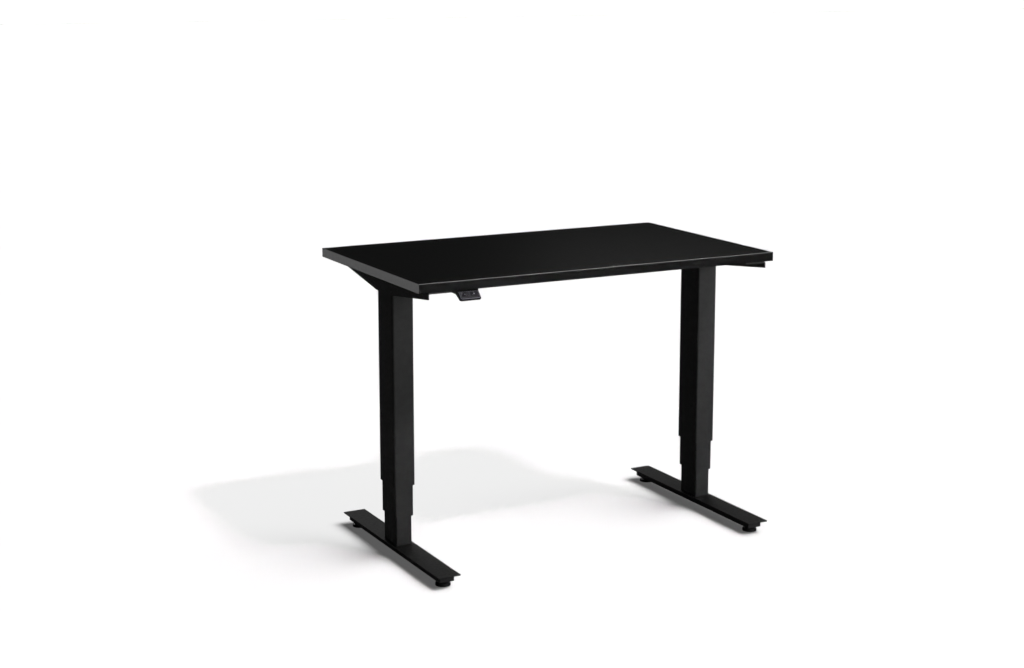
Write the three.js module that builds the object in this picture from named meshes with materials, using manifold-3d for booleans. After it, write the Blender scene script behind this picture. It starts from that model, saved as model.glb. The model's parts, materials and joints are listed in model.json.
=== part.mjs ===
// Height adjustable standing desk: a laminated board carried by two motorised three-stage columns.
// Millimetres, +Z up. The user sits on the -Y side and +X is on the user's right.
// The desk is drawn REST_RISE above its lowest position; the origin is on the floor, under the
// middle of the whole desk's box.
import * as THREE from "three";
import { mergeVertices } from "three/addons/utils/BufferGeometryUtils.js";
import Module from "manifold-3d";

const wasm = await Module();
wasm.setup();

// ---------------------------------------------------------------- driving dimensions
const GAP = 0.3; // between pieces that touch, or are glued, welded or screwed together
const STROKE = 650; // travel of the board, half of it in each stage
const REST_RISE = 137; // how far above its lowest position the board is drawn

const BOARD = { width: 1000, depth: 600, core: 21, laminate: 0.7, band: 1 };
const COLUMN = { fromEnd: 55, wall: 1.8, corner: 5, step: 3.5, outerLength: 517 };
const OUTER = { width: 57.5, depth: 88 };
const RISE_GAP = { outer: 17, middle: 6, gearbox: 5, nut: 6 }; // what is left when fully lowered
const GLIDE = { length: 40, inset: 3 };
const HEAD = { length: 150, thickness: 4 };
const BRACKET = { sheet: 3, front: 258, rear: 228, frontTip: 16, rearTip: 9, middle: 40, inset: 1 };

const FOOT = { width: 60, length: 582, sheet: 3, corner: 2, forward: 6 }; // forward: of the column
const CHANNEL = { width: 40, height: 15, wall: 2.5, setback: 14 };
const LEVELLER = { radius: 18.5, rim: 7, top: 10, neck: 9, stem: 4, fromEnd: 37 };
const WELD_NUT = { radius: 8.5, height: 8 };
const CHANNEL_CLEARANCE = 14; // from the floor to the channel's lower edges

const GEARBOX = { clearance: 1.7, height: 38, corner: 6, socket: 15 };
const MOTOR = { radius: 17, length: 112, cap: 8, neck: 14, clearance: 1 };
const SCREW = { radius: 7, keyRadius: 8, keyLength: 20, spare: 50 }; // spare: beyond one stage's travel
const SLEEVE = { radius: 12, bore: 8.5, spare: 45, flange: 17, flangeHeight: 4 };
const UPPER_NUT_HEIGHT = 12;
const LOWER_NUT_HEIGHT = 20;
const RUNNING = 0.8; // radial clearance between a nut and its screw

const RAIL = { width: 20, height: 30, wall: 1.5, corner: 2.5, clearance: 3, drop: 8 };
const CENTRE_RAIL = { length: 480, overlap: 55 };
const CONTROL = { width: 260, depth: 110, height: 36, wall: 2, corner: 6, behind: 13, plate: 2 };
const CIRCUIT = { margin: 9, thickness: 1.6, standoff: 6 };
const TRANSFORMER = { width: 46, depth: 30, height: 20 };
const INLET = { x: 84, width: 30, height: 24, flange: 2, depth: 14, lip: 3, wall: 2 };
const INLET_PIN = { width: 2, height: 4, length: 9, pitch: 7 };

const HANDSET = { fromEnd: 126, width: 56, slope: 24, radius: 7, tilt: 45, plate: 2, back: 70, deep: 10, lip: 2.5 };
const HANDSET_FACE = { y: -9.5, z: -11.5 }; // face centre, from the board's front lower edge
const BUTTON = { pitch: 24, width: 17, height: 12, radius: 3, centre: 3.5, proud: 0.4, deep: 4.4 };
const BUTTON_CLEARANCE = 0.3;
const POCKET = { width: 46, height: 14, depth: 4 };
const CABLE = { radius: 2.5, sides: 8, end: 0.8 }; // end: left between a cable and what it enters

// ---------------------------------------------------------------- derived places
const FRONT = -BOARD.depth / 2;
const HALF_SPACING = BOARD.width / 2 - COLUMN.fromEnd;
const COLUMN_Y = FRONT + BRACKET.inset + BRACKET.front;
const FOOT_Y = COLUMN_Y - FOOT.forward;
const HANDSET_X = HANDSET.fromEnd - BOARD.width / 2;
const STAGE_TRAVEL = STROKE / 2;
const SHELL_THICKNESS = BOARD.core + 2 * (BOARD.laminate + GAP);
const MIDDLE = { width: OUTER.width - 2 * COLUMN.step, depth: OUTER.depth - 2 * COLUMN.step };
const INNER = { width: MIDDLE.width - 2 * COLUMN.step, depth: MIDDLE.depth - 2 * COLUMN.step };
const FOOT_TOP = CHANNEL_CLEARANCE + CHANNEL.height + GAP + FOOT.sheet;

// Heights of the lifted pieces are counted with the desk fully lowered.
const OUTER_BOTTOM = FOOT_TOP + RISE_GAP.outer;
const OUTER_TOP = OUTER_BOTTOM + COLUMN.outerLength;
const GEARBOX_TOP = OUTER_TOP - GAP;
const GEARBOX_BOTTOM = GEARBOX_TOP - GEARBOX.height;
const MOTOR_Z = GEARBOX_TOP - MOTOR.radius - MOTOR.clearance;
const HEAD_BOTTOM = OUTER_TOP + GAP;
const FLANGE_BOTTOM = HEAD_BOTTOM + HEAD.thickness + GAP;
const UNDERSIDE = FLANGE_BOTTOM + BRACKET.sheet + GAP;
const RAIL_TOP = UNDERSIDE - RAIL.drop;

// Heights of the middle stage's pieces, fully lowered too.
const MIDDLE_BOTTOM = FOOT_TOP + RISE_GAP.middle;
const MIDDLE_TOP = GEARBOX_BOTTOM - RISE_GAP.gearbox;
const UPPER_NUT_BOTTOM = MIDDLE_TOP - GAP - UPPER_NUT_HEIGHT;
const SLEEVE_TOP = UPPER_NUT_BOTTOM - GAP;
const INNER_TOP = SLEEVE_TOP - SLEEVE.flangeHeight - RISE_GAP.nut;

const RAIL_OFFSET = MOTOR.radius + RAIL.clearance + RAIL.width / 2;
const CONTROL_FRONT = COLUMN_Y + RAIL_OFFSET + RAIL.width / 2 + CONTROL.behind;
const FOOT_FRONT = FOOT_Y - FOOT.length / 2;
const SIDES = [["left", -1], ["right", 1]];
const ENDS = [["front", -1], ["rear", 1]];

// ---------------------------------------------------------------- finishes
const finish = (color, roughness, metalness) =>
  new THREE.MeshStandardMaterial({ color, roughness, metalness });
const COATED_STEEL = finish(0x1c1c1d, 0.55, 0.3);
const BLACK_LAMINATE = finish(0x141415, 0.45, 0);
const EDGE_BAND = finish(0x262627, 0.5, 0);
const CHIPBOARD = finish(0x9a7b52, 0.9, 0);
const BLACK_PLASTIC = finish(0x18181a, 0.5, 0);
const FASCIA = finish(0x2b2933, 0.4, 0);
const NYLON = finish(0x2a2a2a, 0.6, 0);
const RUBBER = finish(0x0e0e0e, 0.85, 0);
const STEEL = finish(0x8d9096, 0.35, 0.9);
const CAST_ALLOY = finish(0x7d8084, 0.5, 0.8);
const NUT_PLASTIC = finish(0xd8d4c8, 0.55, 0);
const CIRCUIT_GREEN = finish(0x1f4a30, 0.6, 0);

// ---------------------------------------------------------------- solids
function solid(geometry) {
  const bare = geometry.index ? geometry.toNonIndexed() : geometry.clone();
  bare.deleteAttribute("normal");
  bare.deleteAttribute("uv");
  const merged = mergeVertices(bare, 1e-4);
  return new wasm.Manifold(
    new wasm.Mesh({
      numProp: 3,
      vertProperties: merged.attributes.position.array,
      triVerts: new Uint32Array(merged.index.array),
    }),
  );
}

function shell(body) {
  const mesh = body.getMesh();
  const geometry = new THREE.BufferGeometry();
  geometry.setAttribute("position", new THREE.BufferAttribute(mesh.vertProperties, 3));
  geometry.setIndex(new THREE.BufferAttribute(mesh.triVerts, 1));
  geometry.computeVertexNormals();
  return geometry;
}

function cut(geometry, ...tools) {
  return shell(tools.reduce((body, tool) => body.subtract(solid(tool)), solid(geometry)));
}

function join(geometry, ...others) {
  return shell(others.reduce((body, other) => body.add(solid(other)), solid(geometry)));
}

function common(geometry, other) {
  return shell(solid(geometry).intersect(solid(other)));
}

// A box between two corners, given in any order.
function block([x0, x1], [y0, y1], [z0, z1]) {
  const box = new THREE.BoxGeometry(Math.abs(x1 - x0), Math.abs(y1 - y0), Math.abs(z1 - z0));
  return box.translate((x0 + x1) / 2, (y0 + y1) / 2, (z0 + z1) / 2);
}

function roundedRectangle(width, height, radius, path = new THREE.Shape()) {
  const x = width / 2;
  const y = height / 2;
  path.moveTo(x - radius, -y);
  path.absarc(x - radius, -y + radius, radius, -Math.PI / 2, 0);
  path.absarc(x - radius, y - radius, radius, 0, Math.PI / 2);
  path.absarc(-x + radius, y - radius, radius, Math.PI / 2, Math.PI);
  path.absarc(-x + radius, -y + radius, radius, Math.PI, 1.5 * Math.PI);
  path.closePath();
  return path;
}

function prism(shape, depth, curveSegments = 3) {
  return new THREE.ExtrudeGeometry(shape, { depth, curveSegments, steps: 1, bevelEnabled: false });
}

// A rounded bar standing on z = bottom, centred on the Z axis.
function bar(width, depth, corner, bottom, top) {
  return prism(roundedRectangle(width, depth, corner), top - bottom).translate(0, 0, bottom);
}

// A rounded tube standing on z = bottom.
function rectangularTube(width, depth, wall, corner, bottom, top) {
  const section = roundedRectangle(width, depth, corner);
  const bore = roundedRectangle(width - 2 * wall, depth - 2 * wall, corner - wall, new THREE.Path());
  section.holes.push(bore);
  return prism(section, top - bottom).translate(0, 0, bottom);
}

function rod(radius, bottom, top, sides = 24) {
  const cylinder = new THREE.CylinderGeometry(radius, radius, top - bottom, sides);
  return cylinder.rotateX(Math.PI / 2).translate(0, 0, (bottom + top) / 2);
}

// A turned piece about Z from [radius, height] pairs that start and end on the axis, lowest first.
function turned(profile, sides = 24) {
  const points = profile.map(([radius, height]) => new THREE.Vector2(radius, height));
  return new THREE.LatheGeometry(points, sides).rotateX(Math.PI / 2);
}

function piece(name, geometry, material, x = 0, y = 0, z = 0) {
  const mesh = new THREE.Mesh(geometry, material);
  mesh.name = name;
  mesh.position.set(x, y, z);
  return mesh;
}

// ---------------------------------------------------------------- feet, on the floor
function footPlate(side, sx) {
  const plate = bar(FOOT.width, FOOT.length, FOOT.corner, FOOT_TOP - FOOT.sheet, FOOT_TOP);
  return piece(`foot_plate_${side}`, plate, COATED_STEEL, sx * HALF_SPACING, FOOT_Y);
}

function levellerY(sy) {
  return sy * (FOOT.length / 2 - LEVELLER.fromEnd);
}

// A channel folded from sheet on all four sides, open underneath, with a weld nut for each levelling foot.
function footChannel(side, sx) {
  const top = FOOT_TOP - FOOT.sheet - GAP;
  const bottom = top - CHANNEL.height;
  const half = CHANNEL.width / 2;
  const end = FOOT.length / 2 - CHANNEL.setback;
  const inside = block(
    [wallIn(-half), wallIn(half)], [wallIn(-end), wallIn(end)], [bottom - 1, top - CHANNEL.wall]);
  let channel = cut(block([-half, half], [-end, end], [bottom, top]), inside);
  for (const [, sy] of ENDS) {
    const nutTop = top - CHANNEL.wall / 2;
    const nut = rod(WELD_NUT.radius, nutTop - WELD_NUT.height, nutTop, 6);
    const thread = rod(LEVELLER.stem + RUNNING, bottom - 1, levellerTop() + GAP);
    channel = cut(
      join(channel, nut.translate(0, levellerY(sy), 0)), thread.translate(0, levellerY(sy), 0));
  }
  return piece(`foot_channel_${side}`, channel, COATED_STEEL, sx * HALF_SPACING, FOOT_Y);
}

function wallIn(edge) {
  return edge - Math.sign(edge) * CHANNEL.wall;
}

function levellerTop() {
  return FOOT_TOP - FOOT.sheet - GAP - CHANNEL.wall;
}

function levellingFoot(side, sx, end, sy) {
  const { radius, rim, top, neck, stem } = LEVELLER;
  const foot = turned([
    [0, 0], [radius - 1, 0], [radius, 1], [radius, rim - 1], [radius - 1, rim],
    [neck, top], [stem, top], [stem, levellerTop()], [0, levellerTop()],
  ], 28);
  const y = FOOT_Y + levellerY(sy);
  return piece(`levelling_foot_${end}_${side}`, foot, RUBBER, sx * HALF_SPACING, y);
}

// ---------------------------------------------------------------- telescopic columns
function stageTube(name, { width, depth }, corner, bottom, top, sx) {
  const tube = rectangularTube(width, depth, COLUMN.wall, corner, bottom, top);
  return piece(name, tube, COATED_STEEL, sx * HALF_SPACING, COLUMN_Y);
}

// A nylon liner in the mouth of a tube, which guides the stage inside it.
function glide(name, around, stage, bottom, sx) {
  const wall = COLUMN.step - COLUMN.wall - 2 * GAP;
  const corner = COLUMN.corner - COLUMN.wall - GAP;
  const width = stage.width + 2 * (GAP + wall);
  const depth = stage.depth + 2 * (GAP + wall);
  const liner = rectangularTube(width, depth, wall, corner, bottom, bottom + GLIDE.length);
  return piece(name, liner, NYLON, sx * HALF_SPACING, COLUMN_Y);
}

function nutBlock(name, stage, bore, bottom, height, sx) {
  const width = stage.width - 2 * (COLUMN.wall + GAP);
  const depth = stage.depth - 2 * (COLUMN.wall + GAP);
  const body = bar(width, depth, COLUMN.corner - COLUMN.wall, bottom, bottom + height);
  const nut = cut(body, rod(bore, bottom - 1, bottom + height + 1));
  return piece(name, nut, NUT_PLASTIC, sx * HALF_SPACING, COLUMN_Y);
}

// The upper screw hangs from the gearbox, runs in the nut of the middle stage and turns the hollow
// screw through its sliding key.
function upperScrew(side, sx) {
  const top = GEARBOX_BOTTOM + GEARBOX.socket - GAP;
  const low = GEARBOX_BOTTOM - STAGE_TRAVEL - SCREW.spare;
  const keyTop = low + SCREW.keyLength;
  const { radius, keyRadius } = SCREW;
  const screw = turned([
    [0, low], [keyRadius, low], [keyRadius, keyTop], [radius, keyTop], [radius, top], [0, top],
  ]);
  return piece(`upper_screw_${side}`, screw, STEEL, sx * HALF_SPACING, COLUMN_Y);
}

// The hollow screw hangs under the middle stage's nut and runs in the nut of the fixed stage.
function hollowScrew(side, sx) {
  const low = SLEEVE_TOP - STAGE_TRAVEL - SLEEVE.spare;
  const under = SLEEVE_TOP - SLEEVE.flangeHeight;
  const { radius, bore, flange } = SLEEVE;
  const screw = turned([
    [bore, low], [radius, low], [radius, under], [flange, under], [flange, SLEEVE_TOP],
    [bore, SLEEVE_TOP], [bore, low],
  ]);
  return piece(`hollow_screw_${side}`, screw, STEEL, sx * HALF_SPACING, COLUMN_Y);
}

function gearbox(side, sx) {
  const { height, corner, socket } = GEARBOX;
  const inset = 2 * (COLUMN.wall + GEARBOX.clearance);
  const casing = bar(OUTER.width - inset, OUTER.depth - inset, corner, GEARBOX_TOP - height, GEARBOX_TOP);
  const hole = rod(SCREW.radius + RUNNING, GEARBOX_BOTTOM - 1, GEARBOX_BOTTOM + socket);
  return piece(`gearbox_${side}`, cut(casing, hole), CAST_ALLOY, sx * HALF_SPACING, COLUMN_Y);
}

// The motor lies under the board between the rails; its neck enters the gearbox through the tube wall.
function motor(side, sx) {
  const start = OUTER.width / 2 - COLUMN.wall - GEARBOX.clearance + GAP;
  const shoulder = OUTER.width / 2 + GAP;
  const end = shoulder + MOTOR.length;
  const { radius, neck, cap } = MOTOR;
  const profile = [
    [0, start], [neck, start], [neck, shoulder], [radius, shoulder], [radius, end - cap],
    [radius - 3, end - cap], [radius - 3, end], [0, end],
  ];
  const body = turned(profile, 28).rotateY(-sx * Math.PI / 2);
  return piece(`motor_${side}`, body, STEEL, sx * HALF_SPACING, COLUMN_Y, MOTOR_Z);
}

function outerTube(side, sx) {
  const tube = rectangularTube(
    OUTER.width, OUTER.depth, COLUMN.wall, COLUMN.corner, OUTER_BOTTOM, OUTER_TOP);
  const half = MOTOR.neck + 2 * GAP;
  const inward = -sx * OUTER.width / 2;
  const window = block(
    [inward - sx, inward + sx * 3 * COLUMN.wall], [-half, half], [MOTOR_Z - half, OUTER_TOP + 1]);
  return piece(`outer_tube_${side}`, cut(tube, window), COATED_STEEL, sx * HALF_SPACING, COLUMN_Y);
}

// ---------------------------------------------------------------- frame under the board
function headPlate(side, sx) {
  const plate = bar(OUTER.width, HEAD.length, COLUMN.corner, HEAD_BOTTOM, HEAD_BOTTOM + HEAD.thickness);
  return piece(`head_plate_${side}`, plate, COATED_STEEL, sx * HALF_SPACING, COLUMN_Y);
}

// A folded bracket: a flange under the board, and a tapered web outside the column.
function sideBracket(side, sx) {
  const top = FLANGE_BOTTOM + BRACKET.sheet;
  const web = new THREE.Shape();
  web.moveTo(-BRACKET.front, 0);
  web.lineTo(-BRACKET.front, -BRACKET.frontTip);
  web.lineTo(-OUTER.depth / 2, -BRACKET.middle);
  web.lineTo(OUTER.depth / 2, -BRACKET.middle);
  web.lineTo(BRACKET.rear, -BRACKET.rearTip);
  web.lineTo(BRACKET.rear, 0);
  web.closePath();
  const inner = OUTER.width / 2 + GAP;
  const plate = prism(web, BRACKET.sheet).rotateX(Math.PI / 2).rotateZ(Math.PI / 2);
  plate.translate(sx * inner + (sx < 0 ? -BRACKET.sheet : 0), 0, top);
  const across = [-sx * OUTER.width / 2, sx * (inner + BRACKET.sheet / 2)];
  const flange = block(across, [-BRACKET.front, BRACKET.rear], [FLANGE_BOTTOM, top]);
  const bracket = join(plate, flange);
  return piece(`side_bracket_${side}`, bracket, COATED_STEEL, sx * HALF_SPACING, COLUMN_Y);
}

function railTube(width, height, length) {
  const tube = rectangularTube(height, width, RAIL.wall, RAIL.corner, -length / 2, length / 2);
  return tube.rotateY(Math.PI / 2);
}

function centreRail(end, sy) {
  const tube = railTube(RAIL.width, RAIL.height, CENTRE_RAIL.length);
  const z = RAIL_TOP - RAIL.height / 2;
  return piece(`centre_rail_${end}`, tube, COATED_STEEL, 0, COLUMN_Y + sy * RAIL_OFFSET, z);
}

// The end rails are welded to the columns and slide in the centre rails when the frame is widened.
function endRail(end, sy, side, sx) {
  const outerEnd = HALF_SPACING - OUTER.width / 2 - GAP;
  const innerEnd = CENTRE_RAIL.length / 2 - CENTRE_RAIL.overlap;
  const slip = 2 * (RAIL.wall + GAP);
  const tube = railTube(RAIL.width - slip, RAIL.height - slip, outerEnd - innerEnd);
  const x = sx * (outerEnd + innerEnd) / 2;
  const z = RAIL_TOP - RAIL.height / 2;
  return piece(`end_rail_${end}_${side}`, tube, COATED_STEEL, x, COLUMN_Y + sy * RAIL_OFFSET, z);
}

// ---------------------------------------------------------------- board
function boardPieces() {
  const { width, depth, core, laminate, band } = BOARD;
  const x = width / 2;
  const y = depth / 2;
  const inX = x - band - GAP;
  const inY = y - band - GAP;
  const top = UNDERSIDE + SHELL_THICKNESS;
  const coreBottom = UNDERSIDE + laminate + GAP;
  const sheet = (z) => block([-inX, inX], [-inY, inY], [z, z + laminate]);
  const pieces = [
    piece("board_core", block([-inX, inX], [-inY, inY], [coreBottom, coreBottom + core]), CHIPBOARD),
    piece("top_laminate", sheet(top - laminate), BLACK_LAMINATE),
    piece("backing_laminate", sheet(UNDERSIDE), BLACK_LAMINATE),
  ];
  for (const [end, sy] of ENDS) {
    const strip = block([-x, x], [sy * (y - band), sy * y], [UNDERSIDE, top]);
    pieces.push(piece(`edge_band_${end}`, strip, EDGE_BAND));
  }
  for (const [side, sx] of SIDES) {
    const strip = block([sx * (x - band), sx * x], [-inY, inY], [UNDERSIDE, top]);
    pieces.push(piece(`edge_band_${side}`, strip, EDGE_BAND));
  }
  return pieces;
}

// ---------------------------------------------------------------- control box
function controlBoxPieces() {
  const { width, depth, height, wall, corner, plate } = CONTROL;
  const rear = CONTROL_FRONT + depth;
  const middle = CONTROL_FRONT + depth / 2;
  const plateTop = UNDERSIDE - GAP;
  const coverTop = plateTop - plate - GAP;
  const floor = coverTop - height;
  const outline = bar(width, depth, corner, floor, coverTop);
  const inside = bar(width - 2 * wall, depth - 2 * wall, corner - wall, floor + wall, coverTop + 1);
  const hole = inletHole(GAP);
  const inletZ = floor + height / 2;
  const rearHole = block(
    [INLET.x - hole.x, INLET.x + hole.x], [depth / 2 - wall - 1, depth / 2 + 1],
    [inletZ - hole.z, inletZ + hole.z]);
  const cover = cut(outline, inside, rearHole);
  const lid = bar(width, depth, corner, plateTop - plate, plateTop);
  return [
    piece("control_box_cover", cover, BLACK_PLASTIC, 0, middle),
    piece("control_box_plate", lid, COATED_STEEL, 0, middle),
    circuitBoard(floor + wall + CIRCUIT.standoff, middle),
    mainsInlet(rear, inletZ),
  ];
}

function circuitBoard(z, y) {
  const { margin, thickness } = CIRCUIT;
  const x = CONTROL.width / 2 - CONTROL.wall - margin;
  const half = CONTROL.depth / 2 - CONTROL.wall - INLET.depth;
  const board = block([-x, x], [-half, half], [z, z + thickness]);
  const { width, depth, height } = TRANSFORMER;
  const transformer = block(
    [-x + margin, -x + margin + width], [-depth / 2, depth / 2], [z + thickness / 2, z + thickness + height]);
  const capacitor = rod(height / 2, z + thickness / 2, z + thickness + height, 16);
  return piece("control_circuit_board", join(board, transformer, capacitor), CIRCUIT_GREEN, 0, y);
}

function inletHole(clearance) {
  return {
    x: INLET.width / 2 - INLET.lip + clearance,
    z: INLET.height / 2 - INLET.lip + clearance,
  };
}

// A three-pin mains inlet. Its lead is not part of this desk.
function mainsInlet(y, z) {
  const body = inletHole(0);
  const front = y + GAP + INLET.flange;
  const back = y - INLET.depth;
  const flange = block(
    [-INLET.width / 2, INLET.width / 2], [y + GAP, front], [-INLET.height / 2, INLET.height / 2]);
  const socket = block([-body.x, body.x], [back, y + GAP + 1], [-body.z, body.z]);
  const hollow = block(
    [-body.x + INLET.wall, body.x - INLET.wall], [back + INLET.wall, front + 1],
    [-body.z + INLET.wall, body.z - INLET.wall]);
  let inlet = cut(join(flange, socket), hollow);
  for (const [x, dz] of [[-1, -1], [0, 1], [1, -1]]) {
    const cx = x * INLET_PIN.pitch;
    const cz = dz * INLET_PIN.width;
    const pin = block(
      [cx - INLET_PIN.width / 2, cx + INLET_PIN.width / 2],
      [back + INLET.wall / 2, back + INLET.wall + INLET_PIN.length],
      [cz - INLET_PIN.height / 2, cz + INLET_PIN.height / 2]);
    inlet = join(inlet, pin);
  }
  return piece("mains_inlet", inlet, BLACK_PLASTIC, INLET.x, 0, z);
}

// ---------------------------------------------------------------- handset
// The handset's face looks up and forward at HANDSET.tilt. Its own frame has X across, Y up the
// slope and Z out of the face, with its middle on the outer surface of the fascia.
function ontoFace(geometry) {
  const y = FRONT + HANDSET_FACE.y;
  return geometry
    .rotateX(THREE.MathUtils.degToRad(HANDSET.tilt))
    .translate(HANDSET_X, y, UNDERSIDE + HANDSET_FACE.z);
}

function onSlope(up, out) {
  const angle = THREE.MathUtils.degToRad(HANDSET.tilt);
  const y = FRONT + HANDSET_FACE.y + up * Math.cos(angle) - out * Math.sin(angle);
  const z = UNDERSIDE + HANDSET_FACE.z + up * Math.sin(angle) + out * Math.cos(angle);
  return new THREE.Vector2(y, z);
}

// An outline with round lower corners that starts at the face's lower edge and runs up by height.
// A lip is left round it, at the sides and below.
function faceOutline(height, lip = 0) {
  const x = HANDSET.width / 2 - lip;
  const low = lip - HANDSET.slope / 2;
  const r = HANDSET.radius - lip;
  const outline = new THREE.Shape();
  outline.moveTo(-x + r, low);
  outline.lineTo(x - r, low);
  outline.absarc(x - r, low + r, r, -Math.PI / 2, 0);
  outline.lineTo(x, low + height);
  outline.lineTo(-x, low + height);
  outline.absarc(-x + r, low + r, r, Math.PI, 1.5 * Math.PI);
  outline.closePath();
  return outline;
}

function buttonShape(clearance) {
  return roundedRectangle(
    BUTTON.width + 2 * clearance, BUTTON.height + 2 * clearance, BUTTON.radius + clearance);
}

function handsetHousing() {
  const behind = -HANDSET.plate - GAP;
  const half = HANDSET.slope / 2;
  const back = FRONT + HANDSET.back;
  const side = new THREE.Shape();
  const corners = [
    new THREE.Vector2(back, UNDERSIDE - GAP),
    new THREE.Vector2(FRONT + 2, UNDERSIDE - GAP),
    onSlope(half, behind),
    onSlope(-half, behind),
    onSlope(-half, behind - 3),
    new THREE.Vector2(FRONT + HANDSET.deep, UNDERSIDE - HANDSET.deep),
    new THREE.Vector2(back, UNDERSIDE - HANDSET.deep),
  ];
  side.setFromPoints(corners);
  const wedge = prism(side, HANDSET.width).rotateX(Math.PI / 2).rotateZ(Math.PI / 2);
  wedge.translate(HANDSET_X - HANDSET.width / 2, 0, 0);
  const reach = 2 * HANDSET.back;
  const envelope = ontoFace(prism(faceOutline(reach), reach + 10).translate(0, 0, -reach));
  const pocket = ontoFace(
    prism(roundedRectangle(POCKET.width, POCKET.height, BUTTON.radius), POCKET.depth + 5)
      .translate(0, BUTTON.centre, behind - POCKET.depth));
  return piece("handset_housing", cut(common(wedge, envelope), pocket), BLACK_PLASTIC);
}

function handsetFascia() {
  const outline = faceOutline(HANDSET.slope - HANDSET.lip, HANDSET.lip);
  const plate = prism(outline, HANDSET.plate).translate(0, 0, -HANDSET.plate);
  const holes = [-1, 1].map((s) =>
    prism(buttonShape(BUTTON_CLEARANCE), HANDSET.plate + 2)
      .translate(s * BUTTON.pitch / 2, BUTTON.centre, -HANDSET.plate - 1));
  return piece("handset_fascia", ontoFace(cut(plate, ...holes)), FASCIA);
}

function handsetButton(name, s) {
  const key = prism(buttonShape(0), BUTTON.deep + BUTTON.proud)
    .translate(s * BUTTON.pitch / 2, BUTTON.centre, -BUTTON.deep);
  return piece(name, ontoFace(key), BLACK_PLASTIC);
}

// ---------------------------------------------------------------- cables
// A cable along points chosen by hand: places in X and Y, and how far its middle is below the board.
function cable(name, route) {
  const points = route.map(([x, y, below]) => new THREE.Vector3(x, y, UNDERSIDE - below));
  const path = new THREE.CatmullRomCurve3(points, false, "centripetal");
  const section = new THREE.Shape();
  section.absarc(0, 0, CABLE.radius, 0, 2 * Math.PI);
  const steps = Math.round(path.getLength() / (5 * CABLE.radius));
  const tube = new THREE.ExtrudeGeometry(section, {
    steps, curveSegments: CABLE.sides, extrudePath: path, bevelEnabled: false,
  });
  return piece(name, tube, RUBBER);
}

function motorCable(side, sx) {
  const start = HALF_SPACING - OUTER.width / 2 - GAP - MOTOR.length - CABLE.end;
  const motorBelow = UNDERSIDE - MOTOR_Z;
  const end = CONTROL.width / 2 + CABLE.end;
  return cable(`motor_cable_${side}`, [
    [sx * start, COLUMN_Y, motorBelow],
    [sx * (start - 12), COLUMN_Y, motorBelow],
    [sx * (start - 26), COLUMN_Y, motorBelow - 5],
    [sx * (start - 40), COLUMN_Y + 2, motorBelow - 15],
    [sx * (start - 54), COLUMN_Y + 8, 4.5],
    [sx * (start - 68), COLUMN_Y + 26, 4],
    [sx * (start - 76), COLUMN_Y + 50, 4],
    [sx * (start - 88), COLUMN_Y + 78, 5],
    [sx * (end + 44), COLUMN_Y + 98, 11],
    [sx * (end + 18), COLUMN_Y + 104, 19],
    [sx * end, COLUMN_Y + 104, 20],
  ]);
}

function handsetCable() {
  const start = FRONT + HANDSET.back + CABLE.end;
  const end = -CONTROL.width / 2 - CABLE.end;
  return cable("handset_cable", [
    [HANDSET_X, start, 6],
    [HANDSET_X, start + 14, 6],
    [HANDSET_X + 4, start + 32, 5],
    [HANDSET_X + 18, start + 62, 4],
    [HANDSET_X + 52, start + 92, 4],
    [HANDSET_X + 100, start + 110, 4],
    [HANDSET_X + 146, start + 126, 4],
    [HANDSET_X + 176, start + 156, 4],
    [HANDSET_X + 186, start + 196, 4],
    [HANDSET_X + 192, start + 236, 4],
    [HANDSET_X + 204, start + 258, 9],
    [end - 14, start + 266, 18],
    [end, start + 266, 20],
  ]);
}

// ---------------------------------------------------------------- assembly
const base = new THREE.Group();
const middle = new THREE.Group();
const upper = new THREE.Group();
middle.position.z = REST_RISE / 2;
upper.position.z = REST_RISE;

for (const [side, sx] of SIDES) {
  const middleCorner = COLUMN.corner - 0.5;
  const innerCorner = COLUMN.corner - 1;
  base.add(footPlate(side, sx), footChannel(side, sx));
  for (const [end, sy] of ENDS) base.add(levellingFoot(side, sx, end, sy));
  base.add(
    stageTube(`inner_tube_${side}`, INNER, innerCorner, FOOT_TOP + GAP, INNER_TOP, sx),
    nutBlock(`lower_nut_${side}`, INNER, SLEEVE.radius + RUNNING,
      INNER_TOP - GAP - LOWER_NUT_HEIGHT, LOWER_NUT_HEIGHT, sx),
  );
  middle.add(
    stageTube(`middle_tube_${side}`, MIDDLE, middleCorner, MIDDLE_BOTTOM, MIDDLE_TOP, sx),
    glide(`middle_glide_${side}`, MIDDLE, INNER, MIDDLE_BOTTOM + GLIDE.inset, sx),
    nutBlock(`upper_nut_${side}`, MIDDLE, SCREW.radius + RUNNING, UPPER_NUT_BOTTOM, UPPER_NUT_HEIGHT, sx),
    hollowScrew(side, sx),
  );
  upper.add(
    outerTube(side, sx),
    glide(`outer_glide_${side}`, OUTER, MIDDLE, OUTER_BOTTOM + GLIDE.inset, sx),
    gearbox(side, sx), motor(side, sx), upperScrew(side, sx),
    headPlate(side, sx), sideBracket(side, sx), motorCable(side, sx),
  );
}
for (const [end, sy] of ENDS) {
  upper.add(centreRail(end, sy));
  for (const [side, sx] of SIDES) upper.add(endRail(end, sy, side, sx));
}
upper.add(
  ...boardPieces(), ...controlBoxPieces(),
  handsetHousing(), handsetFascia(), handsetButton("down_button", -1), handsetButton("up_button", 1),
  handsetCable(),
);

const desk = new THREE.Group();
desk.add(base, middle, upper);
desk.position.y = -(FOOT_FRONT + BOARD.depth / 2) / 2;
export default desk;
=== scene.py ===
# %% [markdown]
# # A height adjustable standing desk
# The desk is a thin black board on two telescopic columns with flat feet. Its shapes and sizes come
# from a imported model, which is loaded first and never moved. This lesson gives it what a plain model
# lacks: rounded arrises that catch the light, folded sheet metal, moulded plastic, screws and finishes.

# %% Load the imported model
import json
import math

import bmesh
import bpy
from mathutils import Matrix, Vector

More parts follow.
